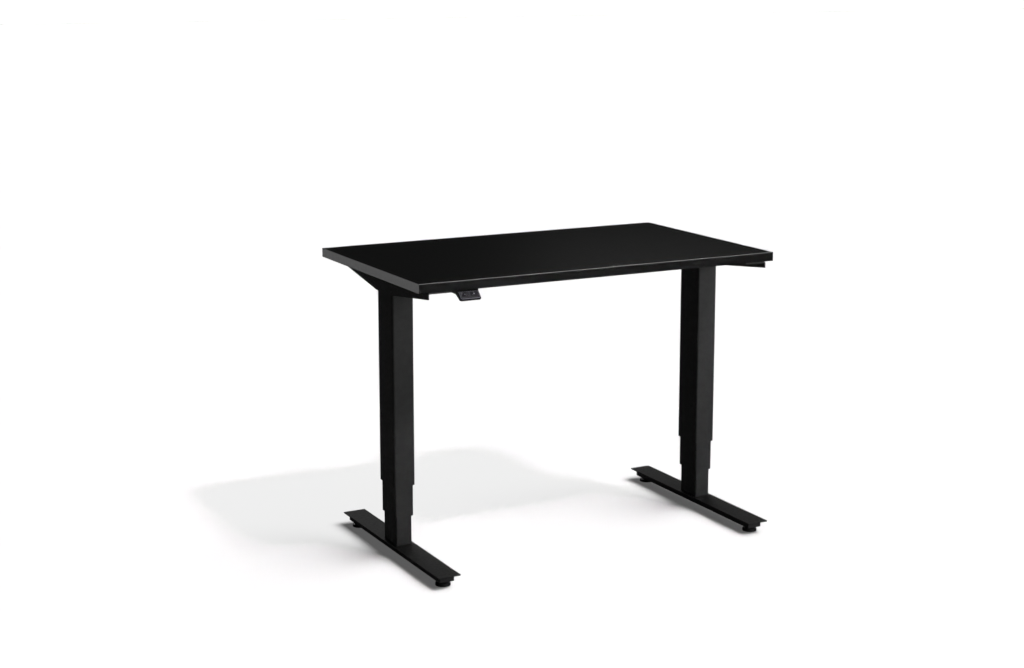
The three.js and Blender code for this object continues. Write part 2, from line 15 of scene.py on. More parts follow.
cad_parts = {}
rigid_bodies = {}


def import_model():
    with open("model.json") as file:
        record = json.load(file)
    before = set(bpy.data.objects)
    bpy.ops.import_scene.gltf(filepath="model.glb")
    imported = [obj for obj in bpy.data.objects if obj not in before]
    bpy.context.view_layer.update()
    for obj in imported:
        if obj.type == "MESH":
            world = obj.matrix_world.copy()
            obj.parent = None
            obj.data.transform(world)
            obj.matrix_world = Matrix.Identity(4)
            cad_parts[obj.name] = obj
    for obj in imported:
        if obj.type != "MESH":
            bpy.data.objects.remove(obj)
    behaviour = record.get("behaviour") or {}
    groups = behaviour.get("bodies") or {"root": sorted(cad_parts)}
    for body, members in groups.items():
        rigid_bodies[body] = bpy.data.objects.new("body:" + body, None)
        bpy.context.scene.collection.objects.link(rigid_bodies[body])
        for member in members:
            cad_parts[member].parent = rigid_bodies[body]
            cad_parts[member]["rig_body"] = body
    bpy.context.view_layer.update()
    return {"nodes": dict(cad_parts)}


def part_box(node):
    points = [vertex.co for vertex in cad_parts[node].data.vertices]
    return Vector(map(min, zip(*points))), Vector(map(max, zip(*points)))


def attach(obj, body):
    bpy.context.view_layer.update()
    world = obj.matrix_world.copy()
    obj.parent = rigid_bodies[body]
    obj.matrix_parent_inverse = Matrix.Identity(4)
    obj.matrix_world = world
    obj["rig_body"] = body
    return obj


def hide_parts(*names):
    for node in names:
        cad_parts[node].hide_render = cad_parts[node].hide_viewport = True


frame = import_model()
MM = 0.001
X, Y, Z = 0, 1, 2
SIDES = (("left", -1), ("right", 1))
ENDS = (("front", -1), ("rear", 1))


def outer_and_inner_x(node, sx):
    """The x of a node's face away from the desk's middle, and that of its face towards it."""
    low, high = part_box(node)
    return (high.x, low.x) if sx > 0 else (low.x, high.x)


# %% [markdown]
# ## The camera
# A product picture of furniture is taken from well back with a long lens, so that the near leg doesn't
# look bigger than the far one. The camera stands at the front left, a little above the board, and looks
# down about ten degrees. A small downward shift of the lens keeps the columns almost upright.

# %% Camera
CAMERA_PLACE = Vector((-2.188, -3.947, 1.467))
CAMERA_TURN = math.radians(-27.77)
CAMERA_TILT = math.radians(9.92)

camera_data = bpy.data.cameras.new("camera")
camera_data.sensor_width = 36
camera_data.lens = 62.42
camera_data.shift_y = -0.06
camera = bpy.data.objects.new("camera", camera_data)
camera.location = CAMERA_PLACE
camera.rotation_euler = (math.pi / 2 - CAMERA_TILT, 0, CAMERA_TURN)
bpy.context.scene.collection.objects.link(camera)
bpy.context.scene.camera = camera

# %% [markdown]
# ## Tools for the shapes
# Sheet metal, board and moulded parts all start as a box whose edges are then rounded. A bevel is wide
# along the length of a tube and hair-thin at its sawn ends, so the helpers pick edges by direction or by
# how sharp they are.

# %% Bmesh helpers
def block(low, high):
    low, high = Vector(low), Vector(high)
    bm = bmesh.new()
    bmesh.ops.create_cube(bm, size=1)
    bmesh.ops.scale(bm, vec=high - low, verts=bm.verts)
    bmesh.ops.translate(bm, vec=(low + high) / 2, verts=bm.verts)
    return bm


def edges_along(bm, axis):
    return [e for e in bm.edges if abs((e.verts[1].co - e.verts[0].co).normalized()[axis]) > 0.999]


def sharp_edges(bm, degrees=40):
    limit = math.radians(degrees)
    return [e for e in bm.edges if len(e.link_faces) == 2 and e.calc_face_angle() > limit]


def round_edges(bm, edges, radius, segments=3):
    bmesh.ops.bevel(
        bm, geom=edges, offset=radius, offset_type="OFFSET", segments=segments,
        profile=0.5, affect="EDGES", clamp_overlap=True, material=-1)


def rounded_block(low, high, arris=0.4 * MM, corner=0, axis=Z, segments=5):
    bm = block(low, high)
    if corner:
        round_edges(bm, edges_along(bm, axis), corner, segments)
    round_edges(bm, sharp_edges(bm), arris, 2)
    return bm


def facing(bm, axis, sign):
    return [f for f in bm.faces if f.normal[axis] * sign > 0.99]


def edges_of(faces):
    return list({e for face in faces for e in face.edges})


def push(bm, faces, by):
    """Extrudes faces and moves the new ones; the old ones stay where they are."""
    grown = bmesh.ops.extrude_face_region(bm, geom=faces)
    moved = [v for v in grown["geom"] if isinstance(v, bmesh.types.BMVert)]
    bmesh.ops.translate(bm, vec=by, verts=moved)


# %% [markdown]
# Some parts start from another shape. A tube is a rounded box opened at both ends, a nut and a screw
# head are prisms, and a turned part is half an outline, spun round an axis.

# %% Tubes, prisms and turned shapes
def rounded_tube(low, high, axis, corner, wall, arris=0.3 * MM):
    """A tube with open ends: each end is inset by the wall, opened, and the two openings are bridged."""
    bm = block(low, high)
    round_edges(bm, edges_along(bm, axis), corner, 6)
    openings = []
    for sign in (-1, 1):
        end = facing(bm, axis, sign)
        bmesh.ops.inset_region(bm, faces=end, thickness=wall, use_even_offset=True)
        openings += end
    rims = [e for face in openings for e in face.edges]
    bmesh.ops.delete(bm, geom=openings, context="FACES_ONLY")
    bmesh.ops.bridge_loops(bm, edges=rims)
    round_edges(bm, sharp_edges(bm, 60), arris, 2)
    return bm


def prism(sides, radius, height):
    """An upright prism round the origin, in millimetres; with many sides it is a cylinder."""
    bm = bmesh.new()
    bmesh.ops.create_cone(
        bm, cap_ends=True, segments=sides, radius1=radius * MM, radius2=radius * MM, depth=height * MM)
    return bm


def turned(profile, segments=48):
    """A turned solid about Z, from (radius, height) pairs in millimetres that start and end on the axis."""
    bm = bmesh.new()
    points = [bm.verts.new((r * MM, 0, z * MM)) for r, z in profile]
    edges = [bm.edges.new(pair) for pair in zip(points, points[1:])]
    bmesh.ops.spin(
        bm, geom=points + edges, cent=(0, 0, 0), axis=(0, 0, 1), angle=2 * math.pi,
        steps=segments, use_merge=True)
    bmesh.ops.remove_doubles(bm, verts=bm.verts, dist=1e-6)
    return bm


def placed(bm, place, turn=None):
    if turn is not None:
        bmesh.ops.transform(bm, matrix=turn, verts=bm.verts)
    bmesh.ops.translate(bm, vec=Vector(place), verts=bm.verts)
    return bm


def joined(*parts):
    """Several closed shapes in one bmesh."""
    whole = bmesh.new()
    for part in parts:
        mesh = bpy.data.meshes.new("part")
        part.to_mesh(mesh)
        part.free()
        whole.from_mesh(mesh)
        bpy.data.meshes.remove(mesh)
    return whole


# %% [markdown]
# ## From shape to piece
# A finished piece gets outward normals, smooth shading that stops at real corners, and weighted normals,
# which keep wide flat faces flat beside a narrow bevel. Then it rides on the body it belongs to, and the
# plain solids it stands for are hidden.

# %% Making pieces
MADE = []


def piece(name, bm, material, body, slot, *replaced, smooth=35):
    bmesh.ops.recalc_face_normals(bm, faces=bm.faces)
    mesh = bpy.data.meshes.new(name)
    bm.to_mesh(mesh)
    bm.free()
    mesh.shade_smooth()
    mesh.set_sharp_from_angle(angle=math.radians(smooth))
    mesh.materials.append(material)
    made = bpy.data.objects.new(name, mesh)
    bpy.context.scene.collection.objects.link(made)
    evened = made.modifiers.new("even shading", "WEIGHTED_NORMAL")
    evened.keep_sharp = True
    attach(made, body)
    if replaced:
        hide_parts(*replaced)
    MADE.append(name)
    return made


def tally(what):
    """Says how many pieces have been made since the last tally."""
    print(what + ":", len(MADE), "pieces")
    MADE.clear()


def refinish(made, material, chosen):
    """Gives a second finish to the faces whose normal passes the test."""
    made.data.materials.append(material)
    for face in made.data.polygons:
        if chosen(face.normal):
            face.material_index = len(made.data.materials) - 1


# %% [markdown]
# Windows, slots and sockets are cut with a second shape. Both are put in scratch objects for that, and
# thrown away once the result is a mesh.

# %% Cutting and fusing
def cut(bm, other):
    return combined(bm, other, "DIFFERENCE")


def fused(bm, other):
    return combined(bm, other, "UNION")


def combined(bm, other, operation):
    kept, tool = (scratch_object(shape) for shape in (bm, other))
    boolean = kept.modifiers.new("combined", "BOOLEAN")
    boolean.operation = operation
    boolean.solver = "EXACT"
    boolean.object = tool
    bpy.context.view_layer.update()
    graph = bpy.context.evaluated_depsgraph_get()
    mesh = bpy.data.meshes.new_from_object(kept.evaluated_get(graph))
    result = bmesh.new()
    result.from_mesh(mesh)
    for used in (kept, tool):
        bpy.data.objects.remove(used)
    bpy.data.meshes.remove(mesh)
    bmesh.ops.remove_doubles(result, verts=result.verts, dist=1e-6)
    return result


def scratch_object(bm):
    bmesh.ops.recalc_face_normals(bm, faces=bm.faces)
    mesh = bpy.data.meshes.new("scratch")
    bm.to_mesh(mesh)
    bm.free()
    made = bpy.data.objects.new("scratch", mesh)
    bpy.context.scene.collection.objects.link(made)
    return made


# %% [markdown]
# ## Finishes
# Nearly everything here is black, so the finishes differ in gloss and grain, not in colour. Each one is
# a Principled shader whose roughness drifts a little and whose surface is broken by fine noise, at the
# size that the real coating has. Noise on Object coordinates is in metres, so a scale of 1000 makes
# grains about a millimetre across.

# %% Shader helpers
def new_finish(name, colour, roughness, metallic=0.0, specular=0.5):
    material = bpy.data.materials.new(name)
    material.use_nodes = True
    shader = material.node_tree.nodes["Principled BSDF"]
    shader.inputs["Base Color"].default_value = (*colour, 1)
    shader.inputs["Roughness"].default_value = roughness
    shader.inputs["Metallic"].default_value = metallic
    shader.inputs["Specular IOR Level"].default_value = specular
    return material


def noise(material, scale, detail=2.0, stretch=(1, 1, 1)):
    """A noise texture on Object coordinates; stretch makes its grains longer along an axis."""
    nodes, links = material.node_tree.nodes, material.node_tree.links
    coordinates = nodes.new("ShaderNodeTexCoord")
    mapping = nodes.new("ShaderNodeMapping")
    mapping.inputs["Scale"].default_value = stretch
    texture = nodes.new("ShaderNodeTexNoise")
    texture.inputs["Scale"].default_value = scale
    texture.inputs["Detail"].default_value = detail
    links.new(coordinates.outputs["Object"], mapping.inputs["Vector"])
    links.new(mapping.outputs["Vector"], texture.inputs["Vector"])
    return texture.outputs["Fac"]


def vary_roughness(material, source, low, high):
    nodes, links = material.node_tree.nodes, material.node_tree.links
    span = nodes.new("ShaderNodeMapRange")
    span.inputs["From Min"].default_value = 0.3
    span.inputs["From Max"].default_value = 0.7
    span.inputs["To Min"].default_value = low
    span.inputs["To Max"].default_value = high
    links.new(source, span.inputs["Value"])
    links.new(span.outputs["Result"], nodes["Principled BSDF"].inputs["Roughness"])


def vary_colour(material, source, dark, light):
    nodes, links = material.node_tree.nodes, material.node_tree.links
    ramp = nodes.new("ShaderNodeValToRGB")
    ramp.color_ramp.elements[0].position = 0.35
    ramp.color_ramp.elements[1].position = 0.65
    ramp.color_ramp.elements[0].color = (*dark, 1)
    ramp.color_ramp.elements[1].color = (*light, 1)
    links.new(source, ramp.inputs["Fac"])
    links.new(ramp.outputs["Color"], nodes["Principled BSDF"].inputs["Base Color"])


def roughen(material, source, depth, strength=1.0):
    """A bump of the given depth in millimetres."""
    nodes, links = material.node_tree.nodes, material.node_tree.links
    bump = nodes.new("ShaderNodeBump")
    bump.inputs["Strength"].default_value = strength
    bump.inputs["Distance"].default_value = depth * MM
    links.new(source, bump.inputs["Height"])
    links.new(bump.outputs["Normal"], nodes["Principled BSDF"].inputs["Normal"])


def grey(level):
    return (level, level, level)


# %% [markdown]
# Powder coat is a baked plastic skin on steel. Up close it has the fine pebble of an orange's peel, and
# it is satin: bright only where a lamp is mirrored at a low angle. The laminate of the board is flatter
# and finer, and its edge band is a softer plastic with faint lines along its length. A paler grey is
# painted on the upper arris of the front and rear bands only, as a painted highlight along them.

# %% Coats and laminates
powder_coat = new_finish("powder_coat", grey(0.02), 0.5, specular=0.4)
vary_colour(powder_coat, noise(powder_coat, 45), grey(0.018), grey(0.023))
vary_roughness(powder_coat, noise(powder_coat, 160, 3), 0.46, 0.58)
roughen(powder_coat, noise(powder_coat, 1100, 2), 0.045)

laminate = new_finish("black_laminate", grey(0.005), 0.42, specular=0.3)
vary_colour(laminate, noise(laminate, 1600, 1), grey(0.004), grey(0.0065))
vary_roughness(laminate, noise(laminate, 120, 3), 0.41, 0.46)
roughen(laminate, noise(laminate, 1400, 2), 0.03)

edge_plastic = new_finish("edge_band", grey(0.009), 0.6, specular=0.2)
vary_colour(edge_plastic, noise(edge_plastic, 300, 3, (0.15, 0.15, 3)), grey(0.008), grey(0.0105))
vary_roughness(edge_plastic, noise(edge_plastic, 60, 3), 0.56, 0.64)
roughen(edge_plastic, noise(edge_plastic, 900, 2, (0.3, 0.3, 1)), 0.03)

# Painted highlight: this paler grey goes on the upper arris of the front and rear bands.
arris_highlight_paint = new_finish("scraped_arris", grey(0.09), 0.5, specular=0.5)
vary_colour(arris_highlight_paint, noise(arris_highlight_paint, 120, 3), grey(0.075), grey(0.105))

# %% [markdown]
# The moulded parts differ in grain. The handset's housing has a spark-eroded texture, and its fascia is
# smoother and a little purple, inside a dull black lip. The fascia's bevelled rim is painted paler, as a
# painted highlight. The foot pads are dull and the cable sheaths are softly glossy.

# %% Plastics and rubbers
moulded = new_finish("moulded_plastic", grey(0.011), 0.5, specular=0.45)
vary_roughness(moulded, noise(moulded, 240, 3), 0.46, 0.58)
roughen(moulded, noise(moulded, 1500, 3), 0.05)

fascia_plastic = new_finish("fascia_plastic", (0.012, 0.0105, 0.016), 0.5, specular=0.25)
vary_colour(fascia_plastic, noise(fascia_plastic, 70), (0.011, 0.0095, 0.0145), (0.0135, 0.012, 0.018))
roughen(fascia_plastic, noise(fascia_plastic, 1800, 2), 0.02)

# Painted highlight: the fascia's bevel gets this paler colour in place of the light along it.
rim_highlight_paint = new_finish("fascia_rim", (0.15, 0.145, 0.18), 0.35, specular=0.5)
vary_colour(rim_highlight_paint, noise(rim_highlight_paint, 90), (0.14, 0.135, 0.17), (0.16, 0.155, 0.19))

lip_plastic = new_finish("handset_lip", grey(0.002), 0.7, specular=0.08)
vary_colour(lip_plastic, noise(lip_plastic, 240, 3), grey(0.0015), grey(0.0025))

pad_plastic = new_finish("foot_pad", grey(0.008), 0.65, specular=0.4)
vary_roughness(pad_plastic, noise(pad_plastic, 120, 3), 0.6, 0.75)
roughen(pad_plastic, noise(pad_plastic, 700, 3), 0.05)

sheath = new_finish("cable_sheath", grey(0.01), 0.42, specular=0.45)
vary_roughness(sheath, noise(sheath, 180, 2), 0.38, 0.5)
roughen(sheath, noise(sheath, 600, 2), 0.02)

nylon = new_finish("nylon", grey(0.016), 0.55)
vary_colour(nylon, noise(nylon, 90), grey(0.014), grey(0.02))
roughen(nylon, noise(nylon, 800, 2), 0.03)

acetal = new_finish("acetal", (0.7, 0.66, 0.57), 0.45)
vary_colour(acetal, noise(acetal, 50, 3), (0.66, 0.62, 0.53), (0.73, 0.69, 0.6))
roughen(acetal, noise(acetal, 500, 2), 0.02)

printed_mark = new_finish("printed_mark", (0.36, 0.36, 0.39), 0.5)
vary_colour(printed_mark, noise(printed_mark, 900), (0.26, 0.26, 0.29), (0.34, 0.34, 0.37))

# %% [markdown]
# Bare metal is brighter. Turned steel has rings round its axis, cast alloy is matt with a sandy skin,
# and zinc-plated screws are in between. The circuit board's green mask has faint darker tracks.

# %% Metals and the circuit board
turned_steel = new_finish("turned_steel", grey(0.42), 0.32, metallic=1.0)
vary_roughness(turned_steel, noise(turned_steel, 500, 2, (0.1, 0.1, 4)), 0.26, 0.42)
roughen(turned_steel, noise(turned_steel, 900, 2, (0.1, 0.1, 4)), 0.015)

motor_can = new_finish("motor_can", grey(0.02), 0.4, specular=0.5)
vary_roughness(motor_can, noise(motor_can, 300, 3), 0.36, 0.48)
roughen(motor_can, noise(motor_can, 900, 2), 0.03)

cast_alloy = new_finish("cast_alloy", grey(0.32), 0.55, metallic=1.0)
vary_colour(cast_alloy, noise(cast_alloy, 60, 4), grey(0.28), grey(0.36))
roughen(cast_alloy, noise(cast_alloy, 450, 4), 0.08)

black_zinc = new_finish("black_zinc", grey(0.05), 0.38, metallic=0.8)
vary_roughness(black_zinc, noise(black_zinc, 400, 3), 0.3, 0.48)

solder_mask = new_finish("solder_mask", (0.012, 0.07, 0.03), 0.45)
vary_colour(solder_mask, noise(solder_mask, 220, 1, (1, 0.1, 1)), (0.008, 0.05, 0.02), (0.015, 0.09, 0.04))
print("finishes:", len(bpy.data.materials))

# %% [markdown]
# Most pieces are coated steel, black mouldings or driven screws. Each kind has a helper, so that the
# cells below say only what differs. A screw's size is the radius and the height of its head.

# %% Kinds of piece
RAIL_SCREW = (3.2, 2.4)
MOTOR_SCREW = (1.8, 1.2)
BOX_SCREW = (2.6, 1.6)
BOARD_SCREW = (4.6, 2.6)
BOLT = (5.2, 4.2)
FLIPPED = Matrix.Rotation(math.pi, 4, "X")


def coated(name, bm, *replaced, body="upper"):
    piece(name, bm, powder_coat, body, "coated_steel", *replaced)


def moulding(name, bm, *replaced, smooth=35):
    return piece(name, bm, moulded, "upper", "black_plastic", *replaced, smooth=smooth)


def screw(name, size, place, turn=FLIPPED, body="upper"):
    piece(name, placed(screw_head(*size), place, turn), black_zinc, body, "bright_steel")


def screw_head(radius, height):
    """A domed head with a round recess, standing on z = 0, as seen once it is driven in."""
    bm = placed(prism(24, radius, height), (0, 0, height / 2 * MM))
    round_edges(bm, edges_of(facing(bm, Z, 1)), 0.35 * height * MM, 3)
    top = max(bm.faces, key=lambda f: f.calc_center_median().z)
    bmesh.ops.inset_region(bm, faces=[top], thickness=0.35 * radius * MM)
    push(bm, [top], (0, 0, -0.6 * height * MM))
    bmesh.ops.delete(bm, geom=[top], context="FACES_ONLY")
    return bm


# %% [markdown]
# ## The board
# The real board is chipboard between two sheets of black laminate, with a strip of plastic glued round
# its edge. The strip's arrises are rounded by a scraper, and that thin round catches the light line along
# the front. The upper arris of the front and rear strips is also painted a paler grey, as a painted
# highlight. So the panel and the four strips are separate pieces with their own bevels, and the panel's
# top sits level with them, with a hairline groove between.

# %% Board
ARRIS = 1.0 * MM
SEAM = 0.12 * MM


def build_board():
    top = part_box("top_laminate")[1].z
    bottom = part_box("backing_laminate")[0].z
    inner_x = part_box("edge_band_right")[0].x
    inner_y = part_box("edge_band_front")[1].y
    outer_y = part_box("edge_band_rear")[0].y
    panel = rounded_block((-inner_x, inner_y, bottom), (inner_x, outer_y, top), SEAM)
    piece("board_panel", panel, laminate, "upper", "black_laminate",
          "board_core", "top_laminate", "backing_laminate")
    for where, axis, sign in (("front", Y, -1), ("rear", Y, 1), ("left", X, -1), ("right", X, 1)):
        low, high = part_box(f"edge_band_{where}")
        if axis == X:
            low.y, high.y = inner_y, outer_y
        strip = block(low, high)
        outer = edges_of(facing(strip, axis, sign))
        if axis == X:
            outer = [e for e in outer if e in edges_along(strip, Y)]
        round_edges(strip, outer, ARRIS, 4)
        made = piece(f"{where}_edge_band", strip, edge_plastic, "upper", "edge_band", f"edge_band_{where}")
        # Painted highlight: the upper arris of the front and rear strips gets a paler grey.
        if axis == Y:
            refinish(made, arris_highlight_paint, lambda normal: 0.15 < normal.z < 0.95)


build_board()
tally("board")

# %% [markdown]
# ## The columns
# Each column is three steel tubes, one in the other, the widest at the top. They are cold-rolled, so
# their long corners are round and their ends are sawn. The solids already have the sizes, but their
# corners are coarse, so finer tubes stand for them, each with six faces to a corner.

# %% Tubes
TUBE_WALL = 1.8 * MM
MOTOR_NECK = 14 * MM
NECK_PLAY = 0.6 * MM
TUBE_CORNER = {"outer": 5 * MM, "middle": 4.5 * MM, "inner": 4 * MM}


def body_of_stage(stage, side):
    return {"outer": "upper", "middle": f"middle_stage_{side}", "inner": "base"}[stage]


def build_tubes():
    for side, sx in SIDES:
        for stage, corner in TUBE_CORNER.items():
            node = f"{stage}_tube_{side}"
            low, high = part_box(node)
            tube = rounded_tube(low, high, Z, corner, TUBE_WALL)
            if stage == "outer":
                tube = cut(tube, motor_window(side, sx))
            coated(f"{side}_{stage}_tube", tube, node, body=body_of_stage(stage, side))


def motor_window(side, sx):
    """What is cut out of a column's inner face, from the top down, for the motor's neck."""
    motor_low, motor_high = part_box(f"motor_{side}")
    middle = (motor_low + motor_high) / 2
    half = MOTOR_NECK + NECK_PLAY
    tube = f"outer_tube_{side}"
    face = outer_and_inner_x(tube, sx)[1]
    xs = sorted((face - sx * 2 * MM, face + sx * 5 * MM))
    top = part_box(tube)[1].z + MM
    return block((xs[0], middle.y - half, middle.z - half), (xs[1], middle.y + half, top))


build_tubes()
tally("tubes")

# %% [markdown]
# ## The feet
# A foot is a flat plate welded on a folded channel, with a round levelling pad screwed in at each end.
# The plate is flame cut, so its corners are barely rounded. The channel is a sheet with two bends, and
# the pad is a moulded disc with notches for the fingers, on a threaded stem.

# %% Foot plates and channels
CHANNEL_SHEET = 2.5 * MM
WELD_NUT = (8.5, 4.6, 8)


def build_feet():
    for side, _ in SIDES:
        plate = rounded_block(*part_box(f"foot_plate_{side}"), 0.5 * MM, 2 * MM)
        coated(f"{side}_foot_plate", plate, f"foot_plate_{side}", body="base")
        low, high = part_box(f"foot_channel_{side}")
        channel = folded_channel(low, high, CHANNEL_SHEET)
        coated(f"{side}_foot_channel", channel, f"foot_channel_{side}", body="base")
        for end, _ in ENDS:
            pad_low, pad_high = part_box(f"levelling_foot_{end}_{side}")
            centre = (pad_low + pad_high) / 2
            nut = placed(hexagon_nut(*WELD_NUT), (centre.x, centre.y, high.z - 6.5 * MM))
            coated(f"{side}_{end}_weld_nut", nut, body="base")
            build_levelling_foot(f"{end}_{side}", centre)


def folded_channel(low, high, sheet):
    """A tray turned over: the open underside is inset by the sheet's thickness and pushed up inside."""
    bm = block(low, high)
    round_edges(bm, edges_along(bm, Z), 1.2 * sheet, 4)
    round_edges(bm, edges_of(facing(bm, Z, 1)), 1.2 * sheet, 4)
    mouth = facing(bm, Z, -1)
    bmesh.ops.inset_region(bm, faces=mouth, thickness=sheet, use_even_offset=True)
    push(bm, mouth, (0, 0, high.z - low.z - sheet))
    bmesh.ops.delete(bm, geom=mouth, context="FACES_ONLY")
    return bm


def hexagon_nut(radius, bore, height):
    """A nut from a six-sided prism whose middle is opened by an inset."""
    bm = prism(6, radius, height)
    ends = facing(bm, Z, 1) + facing(bm, Z, -1)
    rims = []
    for end in ends:
        bmesh.ops.inset_region(bm, faces=[end], thickness=(radius * 0.866 - bore) * MM)
        rims += end.edges
    bmesh.ops.delete(bm, geom=ends, context="FACES_ONLY")
    bmesh.ops.bridge_loops(bm, edges=rims)
    round_edges(bm, sharp_edges(bm), 0.3 * MM, 2)
    return bm


# %% [markdown]
# A levelling pad has 24 finger notches round its rim. Its stem's thread is a stack of rings, one for
# each millimetre and a quarter, which is all that shows of a thread this small.

# %% Levelling feet
PAD_NOTCHES = 24
STEM_RADIUS = 4
STEM_CORE = 3.4
THREAD_PITCH = 1.25


def notched_disc(radius, height, notch):
    """A disc whose rim has shallow finger notches: every third point of its outline is pulled in."""
    bm = bmesh.new()
    bmesh.ops.create_circle(bm, cap_ends=True, segments=3 * PAD_NOTCHES, radius=radius * MM)
    rim = sorted(bm.verts, key=lambda v: math.atan2(v.co.y, v.co.x))
    for vertex in rim[::3]:
        vertex.co *= (radius - notch) / radius
    push(bm, bm.faces[:], (0, 0, height * MM))
    round_edges(bm, edges_of(facing(bm, Z, 1) + facing(bm, Z, -1)), 0.8 * MM, 3)
    return bm


def stem_profile(top):
    profile = [(0, 9), (STEM_RADIUS, 9)]
    height = 10.6
    while height < top - THREAD_PITCH:
        profile += [(STEM_RADIUS, height), (STEM_RADIUS, height + 0.3),
                    (STEM_CORE, height + 0.62), (STEM_CORE, height + 0.93)]
        height += THREAD_PITCH
    return profile + [(STEM_CORE, top - 0.6), (2.8, top), (0, top)]


def build_levelling_foot(where, centre):
    node = f"levelling_foot_{where}"
    low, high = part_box(node)
    radius = (high.x - low.x) / 2 / MM
    pad = notched_disc(radius, 6.6, 0.5)
    hub = turned([(0, 5), (radius - 3, 5), (radius - 3, 6.8), (10.5, 8.4), (9, 10.4), (0, 10.4)])
    stem = turned(stem_profile(high.z / MM), 32)
    place = (centre.x, centre.y, 0)
    piece(f"{where}_levelling_pad", placed(joined(pad, hub), place), pad_plastic, node, "foot_pad", node)
    piece(f"{where}_levelling_stem", placed(stem, place), black_zinc, node, "foot_pad")


build_feet()
tally("feet")

# %% [markdown]
# ## Frame under the board
# A bracket is one sheet of steel folded along its length: a flange screwed to the board, and a web that
# tapers from the column out to a narrow tip. It is made the way it is folded, as a thin L of two faces
# whose shared edge is bevelled into a bend, and then given its thickness.

# %% Side brackets and head plates
BRACKET_FRONT_TIP = 16 * MM
BRACKET_REAR_TIP = 9 * MM
BRACKET_SHEET = 3 * MM


def build_bracket(side, sx):
    low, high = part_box(f"side_bracket_{side}")
    tube_low, tube_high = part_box(f"outer_tube_{side}")
    outer, inner = outer_and_inner_x(f"side_bracket_{side}", sx)
    bm = bmesh.new()
    outline = [
        (high.y, high.z), (high.y, high.z - BRACKET_REAR_TIP), (tube_high.y, low.z),
        (tube_low.y, low.z), (low.y, high.z - BRACKET_FRONT_TIP), (low.y, high.z),
    ]
    web = [bm.verts.new((outer, y, z)) for y, z in outline]
    flange = [bm.verts.new((inner, y, high.z)) for y in (low.y, high.y)]
    bm.faces.new(web)
    bm.faces.new([web[0], web[5], flange[0], flange[1]])
    bend = bm.edges.get((web[0], web[5]))
    round_edges(bm, [bend], 1.5 * BRACKET_SHEET, 6)
    bmesh.ops.recalc_face_normals(bm, faces=bm.faces)
    inwards = 1 if sum(f.normal.z for f in bm.faces) > 0 else -1
    bmesh.ops.solidify(bm, geom=bm.faces[:], thickness=inwards * BRACKET_SHEET)
    coated(f"{side}_side_bracket", bm, f"side_bracket_{side}")


def build_head_plate(side):
    plate = rounded_block(*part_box(f"head_plate_{side}"), 0.4 * MM, 5 * MM)
    coated(f"{side}_head_plate", plate, f"head_plate_{side}")


for side, sx in SIDES:
    build_bracket(side, sx)
    build_head_plate(side)
tally("side brackets and head plates")

# %% [markdown]
# Two rails join the columns. Each is a centre tube with a smaller tube sliding in at either end, so the
# same frame fits boards of different lengths. Small screws under each end of the centre tube lock them.

# %% Rails
RAIL_WALL = 1.5 * MM
RAIL_CORNER = 2.5 * MM
RAIL_STEP = 0.5 * MM


def build_rails():
    for end, _ in ENDS:
        low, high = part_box(f"centre_rail_{end}")
        tube = rounded_tube(low, high, X, RAIL_CORNER, RAIL_WALL)
        coated(f"{end}_centre_rail", tube, f"centre_rail_{end}")
        for side, sx in SIDES:
            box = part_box(f"end_rail_{end}_{side}")
            tube = rounded_tube(*box, X, RAIL_CORNER - RAIL_STEP, RAIL_WALL)
            coated(f"{end}_{side}_end_rail", tube, f"end_rail_{end}_{side}")
            for inset in (14, 38):
                place = (sx * (high.x - inset * MM), (low.y + high.y) / 2, low.z)
                screw(f"{end}_{side}_rail_screw_{inset}", RAIL_SCREW, place)


build_rails()
tally("rails")

# %% [markdown]
# ## Motors
# A motor is a deep-drawn can with a rolled lip, an end bell held by two screws, and a boot where its
# cable leaves. Turning the outline and laying it along X gives the can and its end bell; the boot is made
# with the cables.

# %% Motors
MOTOR_CAN = 112
MOTOR_SCREW_PLACE = 9 * MM


def along_x(sx):
    """The turn that lays an upright part down, with its top towards the desk's middle."""
    return Matrix.Rotation(-sx * math.pi / 2, 4, "Y")


def build_motor(side, sx):
    low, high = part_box(f"motor_{side}")
    length = (high.x - low.x) / MM
    radius = (high.z - low.z) / 2 / MM
    neck = MOTOR_NECK / MM
    step = length - MOTOR_CAN
    profile = [
        (0, 0), (neck, 0), (neck, step), (radius - 1, step), (radius, step + 1),
        (radius, step + 9), (radius - 0.7, step + 10), (radius - 0.7, step + 12), (radius, step + 13),
        (radius, length - 18), (radius - 0.6, length - 17.5), (radius - 0.6, length - 16),
        (radius, length - 15.5), (radius, length - 10), (radius - 1.5, length - 8.5),
        (radius - 3.4, length - 8), (radius - 4, length - 1), (radius - 5, length), (0, length),
    ]
    outer, inner = outer_and_inner_x(f"motor_{side}", sx)
    y, z = (low.y + high.y) / 2, (low.z + high.z) / 2
    body = placed(turned(profile, 56), (outer, y, z), along_x(sx))
    piece(f"{side}_motor", body, motor_can, "upper", "bright_steel", f"motor_{side}")
    for end, sy in ENDS:
        place = (inner, y + sy * MOTOR_SCREW_PLACE, z)
        screw(f"{side}_motor_screw_{end}", MOTOR_SCREW, place, along_x(sx))


for side, sx in SIDES:
    build_motor(side, sx)
tally("motors")

# %% [markdown]
# ## Control box and mains inlet
# The control box is a shallow moulded tray hung under a steel plate. Moulded boxes have rounded corners,
# slots that let warm air out, and a lip round each socket. The slots and sockets are cut out of the
# tray as solids, which is how the tool that moulds the real one is made.

# %% Control box
BOX_WALL = 2 * MM
VENT_SLOTS = 16
VENT_PITCH = 7 * MM
VENT_ROW = 20 * MM
BOX_SCREW_INSET = 10 * MM


